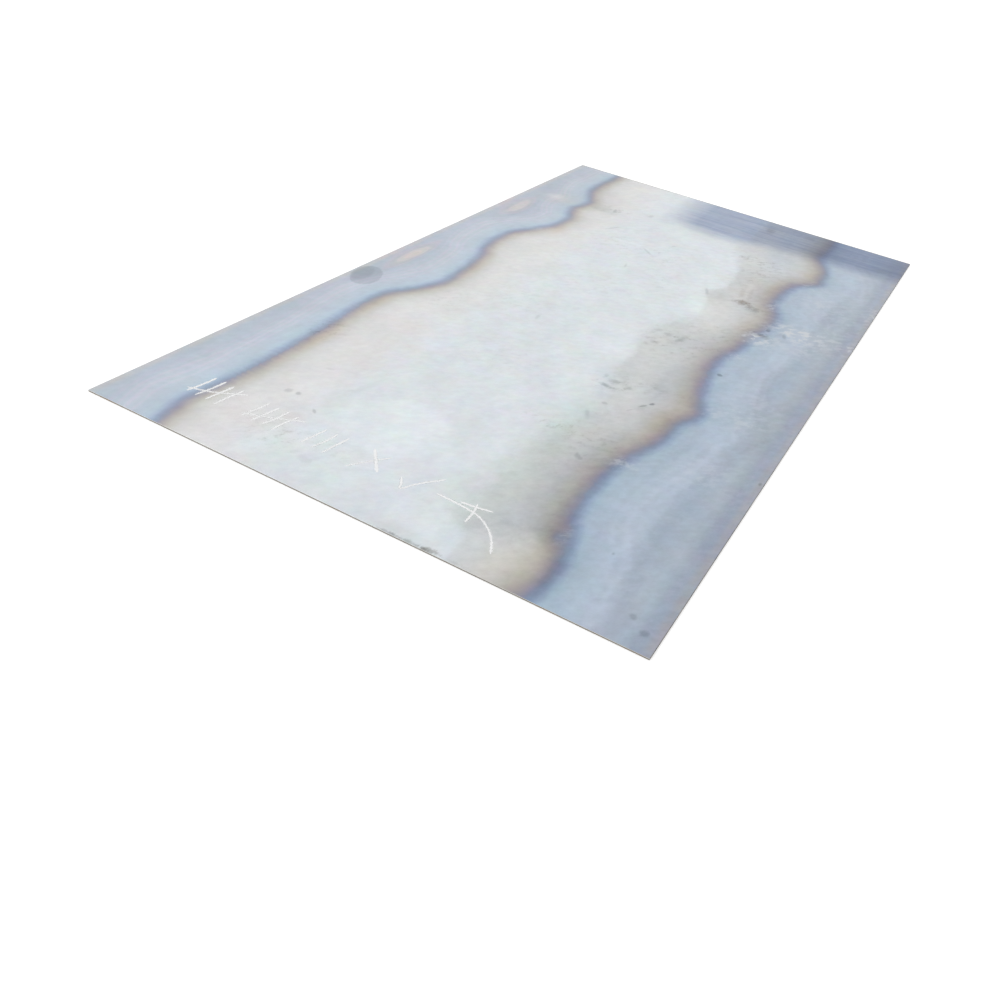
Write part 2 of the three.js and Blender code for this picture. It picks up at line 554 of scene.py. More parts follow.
# %% Film and wiped strip
WIPED_EDGE = [
    (842, -60), (836, 0), (833, 50), (815, 90), (770, 120), (765, 150), (768, 200), (775, 260), (770, 340),
    (772, 420), (780, 500), (800, 560), (815, 640), (805, 700), (790, 780), (775, 840), (773, 900),
    (769, 950), (757, 1000), (747, 1050), (742, 1100), (753, 1140), (774, 1180), (796, 1220), (812, 1270),
    (811, 1330), (798, 1385), (785, 1425), (777, 1452), (787, 1475), (804, 1505), (811, 1560), (807, 1610),
    (799, 1660), (784, 1710), (768, 1760), (753, 1810), (740, 1850), (735, 1900), (735, 2240),
]
# Distance along the plate, and how far the wiped edge is spread out there.
WIPED_SPREAD = [
    (0, 16), (100, 20), (150, 90), (650, 90), (760, 40), (830, 26), (960, 20), (1020, 44), (1120, 60),
    (1200, 60), (1300, 26), (1400, 16), (1460, 12), (1600, 14), (1700, 24), (1760, 34), (1820, 70),
]
WIPED_STEP = 0.42
WIPED_CLIMB = 110 * MM


def store(name, values, mesh=plate_data):
    """Keeps one number for each point of the mesh, for a material to read."""
    layer = mesh.attributes.new(name, "FLOAT", "POINT")
    layer.data.foreach_set("value", np.ascontiguousarray(values, np.float32).ravel())
    print(f"{name}: {values.min():.3f} to {values.max():.3f}")


def from_near(y):
    """Distance along the plate from its near end, in millimetres."""
    return (y + LENGTH / 2) / MM


def wiped_share(x, y):
    """0 left of the wiped edge and 1 well to its right. It steps up at the edge by WIPED_STEP, and
    then climbs over WIPED_CLIMB. Towards the near end the step is spread out until it is no step."""
    distance = behind(x, y, curve(WIPED_EDGE), 1)
    spread = np.interp(from_near(y), *zip(*WIPED_SPREAD)) * MM
    step = np.clip(0.5 + distance / spread, 0, 1)
    climb = np.clip(distance / WIPED_CLIMB, 0, 1)
    return WIPED_STEP * step + (1 - WIPED_STEP) * climb


store("film", film(grid_x, grid_y))
store("wiped", wiped_share(grid_x, grid_y))

# %% [markdown]
# The far end has a dark blue band, which is a painted reflection and not a finish of the steel. Its
# lower and left edges are soft and ragged, so it is a share that falls off over each of them.

# %% Painted reflection at the far end
# The dark band at the far end is a painted reflection; below are its lower edge, its start on the left, its
# softness and its raggedness.
DARK_REFLECTION_LOWER = [(400, 1912), (700, 1918), (760, 1938), (880, 1966), (1000, 1980), (1100, 1985), (1260, 2002)]
DARK_REFLECTION_SIDE = (425, 545)
DARK_REFLECTION_SOFT = 44
DARK_REFLECTION_RAG = 9 * MM


def dark_reflection_share(x, y):
    """1 inside the painted reflection at the far end, and falling to 0 over its lower and left edges."""
    lower_x, lower_y = in_frame(*np.array(DARK_REFLECTION_LOWER, float).T)
    ragged = DARK_REFLECTION_RAG * waves(x, y, seed=21, shortest=0.05, longest=0.3)
    above = (y - np.interp(x, lower_x, lower_y) + ragged) / (DARK_REFLECTION_SOFT * MM)
    start, end = (edge * MM - WIDTH / 2 for edge in DARK_REFLECTION_SIDE)
    beyond = (x + ragged - start) / (end - start)
    return np.clip(0.5 + 0.5 * above, 0, 1) * np.clip(beyond, 0, 1)


store("dark_reflection", dark_reflection_share(grid_x, grid_y))

# %% [markdown]
# Much of the face is a little lighter or darker than its film says: in strips that follow the right
# side, in broad smudges left by hands and rags, three of which belong to the painted reflection at the
# far end, and in lighter ovals of painted sheen. They are added up in one number, the tone, which is
# over 0 where the face is lighter.

# %% Strips along the right side
STRIP_LINE = [
    (1124, -60), (1122, 50), (1112, 100), (1100, 160), (1092, 250), (1093, 400), (1098, 500), (1103, 600),
    (1104, 660), (1118, 720), (1130, 770), (1120, 820), (1100, 870), (1086, 930), (1082, 1050),
    (1096, 1150), (1108, 1250), (1099, 1400), (1099, 1600), (1114, 1750), (1124, 1830), (1116, 1900),
    (1124, 2240),
]
# Distance beyond that line in millimetres, and how much lighter or darker.
STRIPS = [(-72, 0), (-52, 0.2), (-14, 0.2), (14, -0.36), (34, -0.3), (52, 0)]
# Distance across the plate, and the tone of what follows its right side.
SIDE_STRIPS = [(1160, 0), (1170, -0.18), (1180, -0.36), (1202, -0.38), (1208, -0.46), (1220, -0.5)]
# Distance along the plate, and how strong the strips are there.
STRIP_DEPTH = [(0, 0.6), (150, 0.9), (250, 1), (700, 1), (1000, 0.7), (1700, 0.8), (1800, 0.3), (2200, 0.2)]


def strip_tone(x, y):
    """The strips on either side of STRIP_LINE, as strong as STRIP_DEPTH says for each place along the
    plate, and the ones that follow the right side."""
    strips = np.interp(behind(x, y, curve(STRIP_LINE), 1) / MM, *zip(*STRIPS))
    side = np.interp((x + WIDTH / 2) / MM, *zip(*SIDE_STRIPS))
    return strips * np.interp(from_near(y), *zip(*STRIP_DEPTH)) + side


strips = strip_tone(grid_x, grid_y)
print(f"strips: {strips.min():.3f} to {strips.max():.3f}")

# %% Smudges and ovals
# Rows as for patches: a place, half widths, and how much lighter or darker.
# The rows at 255, 560 and 740 across, near 1890 to 1905 along, are painted reflection: they soften the
# lower edge of the dark band at the far end.
SMUDGES_AND_REFLECTION = [
    (880, 330, 45, 170, -0.24), (940, 190, 26, 40, -0.8), (100, 1806, 17, 17, 0.8),
    (110, 1900, 80, 240, -0.25), (885, 1010, 40, 60, 0.26), (905, 830, 34, 34, -0.2),
    (870, 1330, 60, 100, 0.5), (740, 1886, 100, 30, -0.17), (560, 1890, 120, 26, -0.13),
    (255, 1905, 50, 60, -0.12), (828, 1650, 18, 44, -0.16), (1150, 1400, 60, 50, -0.14),
    (1130, 1620, 90, 60, 0.12), (1206, 150, 12, 150, -0.12), (860, 1600, 30, 110, -0.15),
    (900, 1850, 60, 70, 0.25), (870, 690, 50, 90, 0.12), (820, 1425, 26, 40, -0.25),
    (780, 820, 26, 40, -0.3), (715, 18, 60, 16, -0.35), (788, 28, 30, 30, 0.12), (812, 130, 18, 30, -0.3),
    (840, 560, 50, 50, -0.25), (800, 700, 30, 50, -0.22), (800, 160, 20, 24, 0.3),
    (1004, 55, 14, 60, -0.55), (156, 2080, 16, 110, -0.35), (40, 2120, 50, 70, -0.2),
    (890, 1750, 30, 60, 0.2), (940, 1900, 30, 40, 0.16), (215, 2000, 34, 40, -0.25),
    (1090, 1500, 90, 150, -0.13), (1115, 840, 60, 90, -0.22), (975, 2100, 26, 110, -0.4),
    (1070, 2090, 80, 80, -0.16), (700, 1770, 80, 60, 0.06), (275, 1825, 34, 25, -0.6),
    (1055, 603, 26, 46, -0.35), (1109, 810, 24, 40, -0.28), (752, 1952, 44, 24, 0.25),
    (836, 2060, 44, 30, 0.3), (985, 1827, 20, 24, 0.25),
]
# A place, radii across and along, the width of the edge, and for the ovals of painted sheen the tone.
# Inside the tan oval the face is lifted by a painted sheen, and the lighter ovals are painted sheen too.
TAN_OVAL, TAN_SHEEN = ((905, 15), (92, 142), 12), 0.15
SHEEN_OVALS = [
    ((535, 285), (120, 108), 18, 0.22), ((690, 905), (82, 55), 16, 0.1), ((938, 78), (46, 70), 14, 0.17),
]


def oval(x, y, centre, radii, soft):
    """1 inside an oval and 0 outside, with an edge as wide as soft. All are in millimetres."""
    centre_x, centre_y = in_frame(*centre)
    reach = np.hypot((x / MM - centre_x / MM) / radii[0], (y / MM - centre_y / MM) / radii[1])
    return np.clip(0.5 + (1 - reach) * min(radii) / soft, 0, 1)


def broad_tone(x, y, strips):
    """Smudges, strips and ovals of painted sheen added up. No smudge reaches into the tan oval at the near
    end.
    """
    tan = oval(x, y, *TAN_OVAL)
    sheen = sum(oval(x, y, *row[:3]) * row[3] for row in SHEEN_OVALS)
    return patches(x, y, SMUDGES_AND_REFLECTION) * (1 - tan) + TAN_SHEEN * tan + strips + sheen


store("tone", broad_tone(grid_x, grid_y, strips))

# %% [markdown]
# The last three are places where the film is browner or greener than elsewhere, where dirt lies in
# flecks, and where short pale scuffs come in flocks. Flecks and scuffs are too fine for the grid, so
# only how many there are is stored, and the material makes them.

# %% Hues, dirt and scuffs
# Rows as for patches, with 1 for browner and -1 for greener.
HUES = [
    (812, 320, 27, 190, -1), (785, 620, 24, 110, -0.4), (790, 1200, 30, 60, -0.6),
    (1163, 1000, 16, 600, 0.6), (960, 690, 24, 110, 0.9), (945, 1330, 24, 70, 0.7),
    (990, 1830, 34, 60, 0.8), (928, 1610, 14, 60, 0.9), (945, 75, 36, 55, 0.9), (185, 480, 14, 50, 0.7),
    (215, 1090, 16, 50, 0.6), (250, 1520, 14, 30, 0.7), (165, 715, 12, 40, 0.7), (270, 1822, 30, 20, -0.5),
    (100, 1806, 20, 20, 0.7), (135, 1790, 40, 34, 0.7), (850, 1250, 50, 300, 0.25),
]
# Rows as for patches, with how many flecks.
DIRT = [
    (795, 748, 30, 18, 0.5), (825, 772, 34, 14, 0.4), (885, 1452, 26, 16, 0.5), (925, 1425, 30, 18, 0.5),
    (845, 1620, 34, 60, 0.3), (870, 1700, 34, 34, 0.3), (850, 1035, 60, 50, 0.25), (880, 815, 42, 14, 0.4),
    (815, 1100, 44, 16, 0.4), (790, 1030, 24, 16, 0.4), (790, 515, 50, 16, 0.4), (870, 500, 50, 60, 0.2),
    (900, 1160, 50, 60, 0.3), (305, 1845, 40, 26, 0.5), (440, 1580, 50, 40, 0.25),
    (590, 1600, 40, 50, 0.25), (795, 1790, 34, 26, 0.6), (865, 1790, 34, 34, 0.4),
    (640, 1400, 60, 50, 0.16), (400, 1000, 60, 60, 0.12), (560, 700, 90, 50, 0.12),
    (1000, 1290, 30, 30, 0.6), (165, 520, 24, 34, 0.6), (280, 860, 20, 40, 0.3), (370, 105, 40, 26, 0.3),
    (440, 130, 60, 16, 0.25), (500, 1240, 60, 60, 0.15),
]
# Rows as for patches, with how many scuffs.
SCUFFS = [
    (1080, 1340, 70, 44, 0.6), (1180, 1390, 36, 20, 0.3), (985, 1255, 22, 20, 0.9),
    (985, 1105, 14, 20, 0.7), (1082, 1352, 32, 26, 0.7), (1010, 1270, 30, 20, 0.4),
    (1035, 1372, 26, 22, 0.6), (1092, 1384, 26, 14, 0.75), (1020, 1235, 28, 24, 0.5),
    (1100, 1250, 30, 30, 0.3), (958, 472, 30, 14, 0.6), (970, 192, 6, 24, 0.3), (975, 1236, 14, 18, 0.7),
    (1060, 1615, 46, 38, 0.5), (1020, 1720, 32, 26, 0.4), (1100, 540, 46, 46, 0.35),
    (1090, 890, 44, 56, 0.3), (962, 1485, 12, 26, 0.6), (1105, 800, 30, 30, 0.4), (1034, 783, 12, 28, 0.5),
    (1150, 1500, 44, 90, 0.25), (100, 1802, 24, 20, 0.9), (885, 1290, 26, 16, 0.5),
    (210, 1500, 20, 30, 0.4), (1207, 1658, 12, 44, 0.8), (1207, 1372, 12, 18, 0.6),
    (1212, 1900, 6, 60, 0.4),
]

for name, table in (("hue", HUES), ("dirty", DIRT), ("scuffed", SCUFFS)):
    store(name, patches(grid_x, grid_y, table))

# %% [markdown]
# ## Shared effects
# An effect that is used again is best kept as a node group, built once and placed with its own values.
# The rolled grain is fine noise drawn out along the plate, on its face and its mill edges. The mottle
# is the faint, slanting play of colour in a thin oily film. The ragged spot is a stain or rubbed patch,
# given by its centre and size, and it is placed once for each mark.

# %% Making a group
def group(name, inputs, outputs):
    """A new node group, and what it is given, as wires by name. Inputs are (name, kind, value) and
    outputs (name, kind)."""
    made = bpy.data.node_groups.new(name, "ShaderNodeTree")
    for label, kind, value in inputs:
        socket = made.interface.new_socket(label, in_out="INPUT", socket_type=f"NodeSocket{kind}")
        socket.default_value = value
    for label, kind in outputs:
        made.interface.new_socket(label, in_out="OUTPUT", socket_type=f"NodeSocket{kind}")
    return made, wires("NodeGroupInput", tree=made)


def vectors(operation, *values, output=0):
    """One sum on places and sizes."""
    return wire("ShaderNodeVectorMath", enumerate(values), output, operation=operation)


def turned(where, angle):
    """A place turned about Z."""
    return wire("ShaderNodeVectorRotate", {"Vector": where, "Angle": angle}, rotation_type="Z_AXIS")


def noise(where, stretch, detail=2.0, roughness=0.5, turn=0.0):
    """Noise over a place that is turned and then scaled along each axis, so that the pattern is drawn
    out where the scale is small."""
    place = vectors("MULTIPLY", turned(where, turn), stretch)
    inputs = {"Vector": place, "Scale": 1.0, "Detail": detail, "Roughness": roughness}
    return wire("ShaderNodeTexNoise", inputs)


# %% Rolled grain and mottle
WHERE = ("Vector", "Vector", (0, 0, 0))
LINES_SHARE, SKIN_SHARE = 0.6, 0.4
TINT_SCALE = 15.0
FLECK_TURN = math.radians(-43)


def rolled_grain():
    """Height is long fine lines with a finer skin between them, and Tone is broad streaks."""
    made, given = group("rolled_grain", [WHERE], [("Height", "Float"), ("Tone", "Float")])
    where = given["Vector"]
    lines = noise(where, (900, 14, 900), detail=3.0, roughness=0.6)
    height = lines * LINES_SHARE + noise(where, (420, 260, 420)) * SKIN_SHARE
    node("NodeGroupOutput", {"Height": height, "Tone": noise(where, (60, 3, 60))})
    return made


def oil_mottle():
    """Tint is a play of many colours, Tone broad clouds, and Fleck small slanting flecks."""
    outputs = [("Tint", "Color"), ("Tone", "Float"), ("Fleck", "Float")]
    made, given = group("oil_mottle", [WHERE], outputs)
    where = given["Vector"]
    inputs = {"Vector": where, "Scale": TINT_SCALE, "Detail": 6.0, "Roughness": 0.74}
    tint = wire("ShaderNodeTexNoise", inputs, "Color")
    tone = noise(where, (11, 7, 11), detail=4.0, roughness=0.6)
    fleck = noise(where, (40, 66, 55), detail=4.0, roughness=0.7, turn=FLECK_TURN)
    node("NodeGroupOutput", {"Tint": tint, "Tone": tone, "Fleck": fleck})
    return made


GRAIN, MOTTLE = rolled_grain(), oil_mottle()
print("groups:", GRAIN.name, "and", MOTTLE.name)

# %% Ragged spot
RAG_REACH = 4.0


def ragged_spot():
    """1 inside an oval about Centre, with radii Size, turned by Turn, and 0 outside. Soft is the width
    of its edge and Ragged how far noise moves the edge, both as shares of the oval's size."""
    inputs = [
        WHERE, ("Rough", "Float", 0.5), ("Centre", "Vector", (0, 0, 0)),
        ("Size", "Vector", (0.01, 0.01, 1)), ("Turn", "Float", 0.0), ("Soft", "Float", 0.3),
        ("Ragged", "Float", 0.3),
    ]
    made, given = group("ragged_spot", inputs, [("Mask", "Float")])
    from_centre = turned(vectors("SUBTRACT", given["Vector"], given["Centre"]), given["Turn"])
    in_radii = vectors("DIVIDE", vectors("MULTIPLY", from_centre, (1, 1, 0)), given["Size"])
    reach = vectors("LENGTH", in_radii, output="Value")
    edge = reach + (given["Rough"] - 0.5) * given["Ragged"] * RAG_REACH
    node("NodeGroupOutput", {"Mask": smooth(edge, 1.0 - given["Soft"], 1.0, 1.0, 0.0)})
    return made


SPOT = ragged_spot()
print("group:", SPOT.name)

# %% [markdown]
# ## The heat-tinted face
# The face's colour starts from one ramp that turns film thickness into temper colours, in the order in
# which every smith knows them. Each thing that lies over the film then changes that colour in turn,
# mostly by a wash: it is multiplied by what the wash leaves of it, as far as the wash's share goes.

# %% Ramps and washes
SCREEN_GAMMA = 2.2


def darker(*left):
    """A colour to multiply by, given as the shares of the screen's red, green and blue that are left."""
    return (*(share**SCREEN_GAMMA for share in left), 1.0)


def washed(colour, share, left):
    """The colour multiplied by what is left of it where the share is 1."""
    return mixed(share, colour, darker(*left), "MULTIPLY")


def ramp(value, marks):
    """The marks are (place, colour): the colour at each place from 0 to 1, and blends between."""
    made = node("ShaderNodeValToRGB", {"Fac": value})
    elements = made.color_ramp.elements
    for _ in marks[2:]:
        elements.new(0.5)
    for element, (place, _) in zip(elements, marks):
        element.position = place
    for element, (_, colour) in zip(elements, marks):
        element.color = colour
    return Wire(made.outputs["Color"])


def attribute(tree, name):
    """A number that was stored on the mesh."""
    return wire("ShaderNodeAttribute", output="Fac", tree=tree, attribute_name=name)


def new_material(name):
    """A material with nothing in it but the wire of places in the object's own frame, and that wire."""
    material = bpy.data.materials.new(name)
    return material, wire("ShaderNodeTexCoord", output="Object", tree=emptied(material))


# %% [markdown]
# Several steps need the same noises and shares, so those are made once and held together as the face.
# Fray moves the film's colours a little, so that their edges are never smooth. The silver left of the
# middle is cooler, and where there is no film the wiped strip greys it, with an edge that is uneven.

# %% Noises and shares of the face
FRAY = 0.03
FILMED, RIGHT_HALF = (0.22, 0.36), (0.1, 0.18)


def bare_face():
    """The new material and its places, x, noises, film and shares. Filmed is 1 behind the tide line and
    right is 1 on the right-hand side."""
    material, where = new_material("tinted_steel")
    fray = noise(where, (45, 25, 45), detail=3.0)
    x = wires("ShaderNodeSeparateXYZ", {0: where})["X"]
    depth = attribute(where.tree, "film") + (fray - 0.5) * FRAY
    return SimpleNamespace(
        material=material, tree=where.tree, where=where, x=x, fray=fray, depth=depth,
        rough=noise(where, (110, 70, 110), detail=4.0, roughness=0.65),
        grain=wires("ShaderNodeGroup", {"Vector": where}, node_tree=GRAIN),
        play=wires("ShaderNodeGroup", {"Vector": where}, node_tree=MOTTLE),
        filmed=smooth(depth, *FILMED), right=smooth(x, *RIGHT_HALF),
        wiped=attribute(where.tree, "wiped"),
    )


# %% Film colours and wiped strip
# Distance behind the tide line in millimetres, and the colour there.
TEMPER = [
    (-120, 221, 221, 221), (-80, 219, 219, 219), (-57, 215, 215, 215), (-45, 209, 209, 208),
    (-35, 203, 202, 198), (-27, 197, 194, 189), (-19, 187, 182, 178), (-11, 172, 167, 170),
    (-4, 157, 156, 170), (3, 148, 157, 177), (10, 153, 168, 190), (18, 169, 186, 206), (28, 182, 199, 213),
    (42, 187, 200, 213), (70, 191, 202, 214), (98, 194, 202, 214), (119, 189, 198, 210),
    (139, 183, 194, 207), (152, 181, 190, 203), (164, 184, 188, 197), (180, 199, 199, 202),
    (200, 207, 203, 200), (222, 206, 203, 198), (240, 200, 199, 199),
]
SPAN = (FILM_BEFORE + FILM_BEHIND) / MM
COOL, COOL_WOBBLE = seen(217, 223, 227), 0.16
COOL_ACROSS, COOL_FILM = (-0.34, -0.17), (0.02, 0.24)
# Share of the wiped strip, and what it leaves of the colour there.
WIPED_TINTS = [
    (0, 1, 1, 1), (0.43, 0.942, 0.935, 0.925), (0.72, 0.93, 0.917, 0.905), (1, 0.868, 0.875, 0.885),
]
EDGE_STARTS, EDGE_ENDS, EDGE_UNEVEN = (0.02, 0.2), (0.38, 0.6), 0.4


def film_colours(face):
    """The temper colours laid along the film from 0 to 1, and cooler silver on the left."""
    marks = [((distance + FILM_BEFORE / MM) / SPAN, seen(*colour)) for distance, *colour in TEMPER]
    cool = smooth(face.x + (face.play["Tone"] - 0.5) * COOL_WOBBLE, *COOL_ACROSS)
    return mixed(cool * smooth(face.depth, *COOL_FILM, 1.0, 0.0), ramp(face.depth, marks), COOL)


def wiped_strip(face, colour):
    """Where there is no film, the wiped strip takes a little away, and more where it is wiped more."""
    on_edge = smooth(face.wiped, *EDGE_STARTS) * smooth(face.wiped, *EDGE_ENDS, 1.0, 0.0)
    pushed = face.wiped + (face.fray + face.rough - 1.0) * on_edge * EDGE_UNEVEN
    tints = ramp(pushed, [(share, darker(*left)) for share, *left in WIPED_TINTS])
    return mixed(1.0 - face.filmed, colour, tints, "MULTIPLY")


# %% [markdown]
# Behind the tide line the right-hand side is darker, as painted shade for the dimmer light it reflects,
# with a dusky shore along the tide line and a violet outer strip. Both margins are worn brighter.
# On the left, the deep film has faint rings.

# %% Washes over the film
# The shares of red, green and blue that each wash leaves, and the values that its steps run between.
# The first wash below is painted shade over the film on the right-hand side.
RIGHT_SHADE = (0.905, 0.925, 0.945)
SHORE, SHORE_STARTS, SHORE_ENDS = (0.974, 0.967, 0.984), (0.235, 0.3), (0.37, 0.43)
OUTER, OUTER_ACROSS = (0.99, 0.974, 0.99), (0.565, 0.578)
WORN, WORN_ACROSS, WORN_FRAY = (1.07, 1.022, 0.972), (0.586, 0.603), (0.3, 0.6, 0.5, 1.0)
GREENER, BROWNER = (0.965, 0.985, 0.972), (1.02, 0.99, 0.945)
RINGED, RING_SPACING, RINGS_DEEP = (1.022, 0.99, 1.0), 21, (0.47, 0.55)


def film_washes(face, colour):
    """The washes that follow the film and the sides, with painted shade on the right, and the browner and
    greener places.
    """
    hue = attribute(face.tree, "hue")
    shore = smooth(face.depth, *SHORE_STARTS) * smooth(face.depth, *SHORE_ENDS, 1.0, 0.0)
    worn = smooth(maths("ABSOLUTE", face.x), *WORN_ACROSS) * smooth(face.fray, *WORN_FRAY)
    # The first share darkens the film on the right-hand side: painted shade.
    for share, left in (
        (face.right * face.filmed, RIGHT_SHADE), (shore * face.right, SHORE),
        (smooth(face.x, *OUTER_ACROSS), OUTER), (worn, WORN),
        ((hue * -1.0).clamped(), GREENER), ((hue * 1.0).clamped(), BROWNER),
    ):
        colour = washed(colour, share, left)
    return colour


def film_rings(face):
    """Waves from -1 to 1 in the deep film, one for every RING_SPACING millimetres of depth."""
    wave = maths("SINE", face.depth * (2 * math.pi * (SPAN / RING_SPACING)))
    return wave * smooth(face.depth, *RINGS_DEEP)


# %% [markdown]
# Over all this the face is lighter or darker in clouds, streaks, flecks and the tones that were stored,
# and the oil's tint plays in it. Dirt and scuffs turn the mottle's flecks dark or pale, as many as the
# mesh says. The painted reflection at the far end is broken into streaks that run across the plate.

# %% Tones, flecks and the painted reflection at the far end
# How much each thing lightens or darkens, and, as above, what each wash leaves and where it steps.
TONE, RING_TONE, CLOUD_TONE, STREAK_TONE = 0.27, 0.016, 0.22, 0.12
GRIT_TONE = (0.2, 0.6, 0.22, 0.34)
PLAY_WIPED, PLAY_ACROSS = (0.1, 0.6, 0.085, 0.045), (-0.36, -0.2, 0.6, 1.0)
DIRTY, DIRT_FLECKS, DIRT_ROUGH = (0.74, 0.73, 0.71), (0.5, 0.38), (0.42, 0.62)
SCUFF, SCUFF_CLUMPS, SCUFF_FLECKS = seen(204, 208, 213), 0.5, (0.46, 0.61, 0.18, 0.8)
# The far end's dark band is a painted reflection; these are what it leaves of the colour and where its
# streaks step.
DARK_REFLECTION, DARK_REFLECTION_STREAKS = (0.635, 0.685, 0.795), (0.3, 0.65, 1.03, 0.78)


def toned(face, colour, rings):
    """Lighter where the tone, the rings, the grit, the clouds and the lengthwise streaks are over their
    middle and darker where they are under it, and then tinted by the oil."""
    grit = (face.play["Fleck"] - 0.5) * smooth(face.wiped, *GRIT_TONE)
    # The stored tone holds painted sheen and part of the painted far-end reflection, as well as smudges and
    # strips.
    lifted = attribute(face.tree, "tone") * TONE + 1.0 + rings * RING_TONE + grit
    streaks = (face.grain["Tone"] - 0.5) * face.filmed * STREAK_TONE
    cloud = (face.play["Tone"] - 0.5) * CLOUD_TONE + 1.0 + streaks
    colour = mixed(1.0, colour, lifted * cloud, "MULTIPLY")
    playful = smooth(face.wiped, *PLAY_WIPED) * smooth(face.x, *PLAY_ACROSS)
    return mixed(playful, colour, face.play["Tint"], "LINEAR_LIGHT")


def dirt_flecks(face):
    """1 in the mottle's low flecks where the rough noise is high, times how dirty the place is."""
    blots = smooth(face.play["Fleck"], *DIRT_FLECKS) * smooth(face.rough, *DIRT_ROUGH)
    return (attribute(face.tree, "dirty") * blots).clamped()


def pale_scuffs(face):
    """1 in the mottle's high flecks, in clumps, times how scuffed the place is."""
    pale = smooth(face.play["Fleck"] + (face.fray - 0.5) * SCUFF_CLUMPS, *SCUFF_FLECKS)
    return (attribute(face.tree, "scuffed") * pale).clamped()


def dark_reflection_band(face):
    """The stored share of the painted reflection, and less of it in streaks across the plate."""
    streaks = noise(face.where, (2.2, 38, 2.2), detail=5.0, roughness=0.72)
    return attribute(face.tree, "dark_reflection") * smooth(streaks, *DARK_REFLECTION_STREAKS)


# %% Marks on the face
# A place, radii across and along, turn in degrees (anticlockwise, seen from above), how dark, softness
# and raggedness.
STAINS = [
    (46, 834, 42, 66, 17, 0.3, 0.14, 0.05), (32, 838, 29, 58, 10, 0.18, 0.4, 0.05),
    (394, 368, 15, 84, -15, 0.12, 1, 0.3), (874, 134, 58, 62, 0, 0.2, 1, 0.3),
    (957, 478, 9, 17, 0, 0.35, 1, 0.4), (982, 1272, 12, 12, 0, 0.3, 1, 0.4),
    (1063, 199, 4, 6, 0, 0.35, 0.8, 0.2), (285, 255, 11, 13, 0, 0.3, 0.7, 0.25),
    (307, 258, 8, 9, 0, 0.4, 0.7, 0.2), (375, 226, 12, 5, -40, 0.35, 0.7, 0.2),
    (290, 382, 12, 7, 20, 0.14, 0.8, 0.2), (873, 438, 16, 11, -40, 0.36, 0.8, 0.4),
    (1159, 72, 10, 11, 0, 0.32, 0.8, 0.25), (1191, 46, 11, 14, -15, 0.42, 0.8, 0.25),
    (793, 742, 34, 12, -12, 0.55, 1, 0.5), (800, 772, 24, 18, 0, 0.36, 1, 0.5),
    (836, 768, 16, 16, 0, 0.38, 1, 0.4), (770, 786, 11, 18, 0, 0.28, 1, 0.4),
    (890, 812, 38, 13, -15, 0.22, 1, 0.4), (812, 600, 9, 30, 24, 0.26, 1, 0.3),
    (892, 700, 20, 26, -30, 0.12, 1, 0.3), (822, 668, 9, 8, 0, 0.3, 0.6, 0.2),
    (908, 738, 6, 10, -35, 0.7, 0.6, 0.2), (895, 716, 4, 14, -35, 0.5, 0.6, 0.3),
    (880, 682, 3, 16, -30, 0.25, 0.7, 0.3), (983, 985, 9, 9, 0, 0.65, 0.6, 0.2),
    (836, 1094, 13, 34, -16, 0.42, 1, 0.3), (800, 1098, 17, 17, 0, 0.34, 1, 0.4),
    (790, 1034, 18, 14, 0, 0.25, 1, 0.4), (532, 1588, 8, 44, 48, 0.26, 0.9, 0.3),
    (778, 1446, 8, 34, 22, 0.34, 0.9, 0.2), (525, 1435, 6, 26, 14, 0.24, 0.9, 0.3),
    (926, 1420, 34, 30, 0, 0.36, 1, 0.6), (303, 1842, 9, 24, 6, 0.4, 0.9, 0.4),
    (365, 1690, 8, 44, -26, 0.24, 0.9, 0.3), (572, 1698, 8, 26, -20, 0.2, 0.9, 0.3),
    (500, 945, 7, 26, 8, 0.18, 0.9, 0.3), (410, 1895, 12, 24, 0, 0.22, 0.9, 0.4),
    (765, 2110, 22, 44, 8, 0.34, 0.9, 0.3), (890, 2150, 30, 26, 0, 0.26, 0.9, 0.25),
    (1150, 2050, 50, 30, 0, 0.2, 0.9, 0.25), (1000, 1325, 7, 12, 0, 0.6, 0.8, 0.5),
    (1045, 1322, 7, 20, 20, 0.34, 0.8, 0.3), (1212, 592, 5, 10, 0, 0.5, 0.8, 0.3),
    (470, 82, 20, 14, 0, 0.12, 0.5, 0.3), (804, 5, 36, 9, 6, 0.28, 1, 0.5),
    (766, 3, 50, 7, 0, 0.26, 1, 0.6), (722, 2, 40, 6, 0, 0.34, 1, 0.6),
]
# Brown, rusty marks, with the same columns.
RUST = [
    (884, 1451, 34, 26, 0, 0.62, 1, 0.5), (912, 1440, 40, 18, -30, 0.28, 1, 0.6),
    (862, 1512, 14, 66, 10, 0.17, 1, 0.5), (886, 1515, 12, 66, 10, 0.16, 1, 0.5),
    (998, 1281, 20, 16, 0, 0.5, 1, 0.4), (785, 1800, 6, 30, 6, 0.16, 0.9, 0.5),
    (804, 5, 34, 10, 10, 0.4, 1, 0.5), (745, 2, 70, 6, 0, 0.26, 1, 0.6), (858, 4, 36, 7, 0, 0.14, 1, 0.6),
]


def marks_mask(face, rows):
    """The marks of one kind added up: each is 0 outside itself and its own strength inside."""
    total = 0.0
    for across, along, wide, long, turn, strength, soft, ragged in rows:
        inputs = {
            "Vector": face.where, "Rough": face.rough, "Centre": (*in_frame(across, along), 0),
            "Size": (wide * MM, long * MM, 1), "Turn": math.radians(-turn), "Soft": soft,
            "Ragged": ragged,
        }
        total = maths("ADD", total, wire("ShaderNodeGroup", inputs, node_tree=SPOT) * strength)
    return maths("MINIMUM", total, 1.0)


print(len(STAINS), "stains and", len(RUST), "rusty marks")

